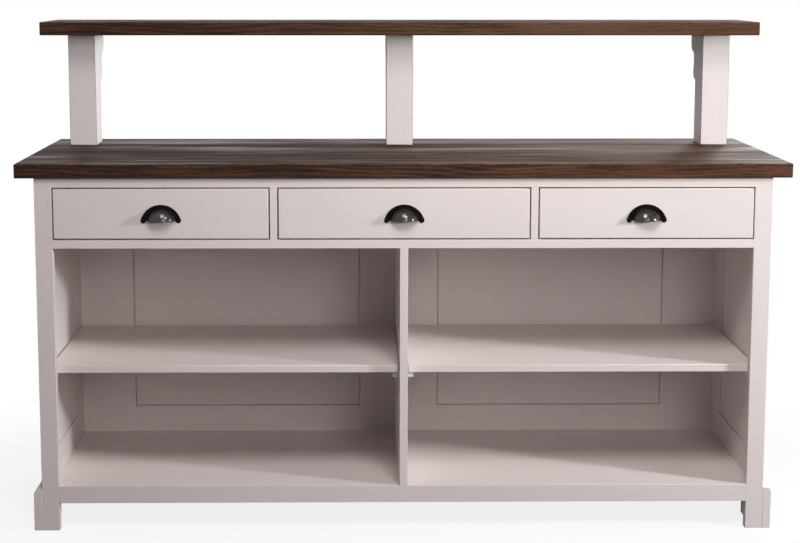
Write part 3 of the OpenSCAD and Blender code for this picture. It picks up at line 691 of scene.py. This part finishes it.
for drawer in ("left", "centre", "right"):
    node = drawer + "_drawer_pull"
    low, high = (Vector(corner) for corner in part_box(node))
    origin = Vector(((low.x + high.x) / 2, high.y, high.z))
    pull = add_piece(drawer + "_cup_pull", fitted(joined(flange(), dome(), lip()), origin),
                     bronze_pull, node)
    screws = []
    for side in (-1, 1):
        one = cut_out(screw(), cross())
        bmesh.ops.translate(one, vec=(side * SCREW_X, -FLANGE_T, SCREW_Z), verts=one.verts)
        screws.append(one)
    add_piece(drawer + "_cup_pull_screws", fitted(joined(*screws), origin),
              bronze_pull, drawer + "_pull_screws")
    print(pull.name, "at", [round(v, 4) for v in origin], len(pull.data.polygons), "faces")

# %% [markdown]
# ## Floor and light
# The unit stands on a pale floor in a bright studio. Seen by the camera, the floor fades to plain
# white a little way off, so that nothing but the unit draws the eye, and keeps a soft shadow below
# the unit. The room round it is a shader too, so the class for finishes writes both.

# %% Floor
FLOOR_SIZE = 60.0
FLOOR_COLOUR, FLOOR_BOUNCE = (0.9, 0.9, 0.9, 1), (0.10, 0.080, 0.074, 1)
PAPER = {"Color": (1, 1, 1, 1), "Strength": 1.0}
# The shadow shows in an oval round the unit. A white veil over it grows from near to far.
SHADOW_OVAL, SHADOW_NEAR, SHADOW_FAR, SHADOW_VEIL = (0.75, 1.2, 1.0), 0.55, 1.5, 0.84
floor_mesh = bmesh.new()
bmesh.ops.create_grid(floor_mesh, x_segments=1, y_segments=1, size=FLOOR_SIZE)
floor = bpy.data.objects.new("floor", bpy.data.meshes.new("floor"))
floor_mesh.to_mesh(floor.data)
floor_mesh.free()
bpy.context.scene.collection.objects.link(floor)


def seen(finish):
    """1 for rays from the camera, off metal and through glass, and 0 for rays of light."""
    ways = [finish.node("ShaderNodeLightPath", out=way)
            for way in ("Is Camera Ray", "Is Glossy Ray", "Is Transmission Ray")]
    return ways[0].most(ways[1]).most(ways[2])


floor_finish = Finish("pale_floor", None)
floor_finish.set(base_color=FLOOR_COLOUR, roughness=0.8, specular_ior_level=0.0)
lit = Field(floor_finish, floor_finish.surface.outputs[0])
plain = floor_finish.node("ShaderNodeBsdfDiffuse", {}, {"Color": FLOOR_BOUNCE})
white = floor_finish.node("ShaderNodeEmission", {}, PAPER)
reach = floor_finish.node("ShaderNodeVectorMath", {"operation": "LENGTH"},
                          {0: floor_finish.place(scale=SHADOW_OVAL)}, out="Value")
shadowed = floor_finish.node("ShaderNodeMixShader", {}, {
    0: reach.ramp(SHADOW_NEAR, SHADOW_FAR, SHADOW_VEIL, 1.0), 1: lit, 2: white})
shown = floor_finish.node("ShaderNodeMixShader", {}, {
    0: seen(floor_finish), 1: plain, 2: shadowed})
floor_finish.tree.links.new(
    shown.socket, floor_finish.tree.nodes["Material Output"].inputs["Surface"])
floor.data.materials.append(floor_finish.material)
print("The floor is", 2 * FLOOR_SIZE, "m square")

# %% [markdown]
# Two small lamps draw the shapes. One hangs in front of the bar and lights the front of each shelf.
# The other stands on the right and rakes along the front, so that the uprights cast slanting
# shadows into the bays. Two broad lamps, high in front and to the right of the camera, fill the
# rest with slightly warmer light. A broad lamp behind, on the right, draws a sheen along the
# worktop, and it keeps the back of the unit clear.

# %% Lamps
def softbox(name, place, aim, size, power, colour=(1, 1, 1)):
    lamp = bpy.data.objects.new(name, bpy.data.lights.new(name, "AREA"))
    lamp.data.shape, lamp.data.size, lamp.data.energy = "DISK", size, power
    lamp.data.color = colour
    lamp.location = place
    lamp.rotation_euler = (Vector(place) - Vector(aim)).to_track_quat("Z", "Y").to_euler()
    bpy.context.scene.collection.objects.link(lamp)
    print(name, power, "W")


MIDDLE = (0.0, 0.0, 0.5)
WARM, COOL = (1.0, 0.95, 0.935), (0.96, 0.985, 1.0)
softbox("shelf_light", (0.3, -1.2, 1.6), MIDDLE, 0.42, 5.0)
softbox("raking_light", (3.0, -1.3, 1.25), MIDDLE, 0.28, 66.0, COOL)
softbox("high_fill", (0.0, -2.5, 3.5), MIDDLE, 1.6, 48.0, WARM)
softbox("front_fill", (1.2, -4.5, 2.0), MIDDLE, 1.6, 37.5, WARM)
softbox("back_light", (2.6, 4.2, 1.6), MIDDLE, 1.2, 110.0)

# %% [markdown]
# The room gives a faint even glow, and a stronger one from behind the unit. To the camera, to metal
# and to glass it is plain white paper.

# %% The room
GLOW, GLOW_BEHIND = 0.05, 0.36
ROOM_COLOUR = (1.0, 0.955, 0.94, 1)


class Room(Finish):
    """The world's shader, written in the same way as a finish."""

    def __init__(self, name):
        self.world = bpy.data.worlds.new(name)
        self.world.use_nodes = True
        self.tree = self.world.node_tree
        self.surface = self.tree.nodes["Background"]


room = Room("room")
toward = room.axes(room.node("ShaderNodeTexCoord", out="Generated"))
glow = GLOW + GLOW_BEHIND * toward[1].most(0.0)
lamps = Field(room, room.surface.outputs[0])
room.set(color=ROOM_COLOUR, strength=glow)
paper = room.node("ShaderNodeBackground", {}, PAPER)
backdrop = room.node("ShaderNodeMixShader", {}, {0: seen(room), 1: lamps, 2: paper})
room.tree.links.new(backdrop.socket, room.tree.nodes["World Output"].inputs["Surface"])
bpy.context.scene.world = room.world
print("Glow:", GLOW, "all round and", GLOW_BEHIND, "more from behind")
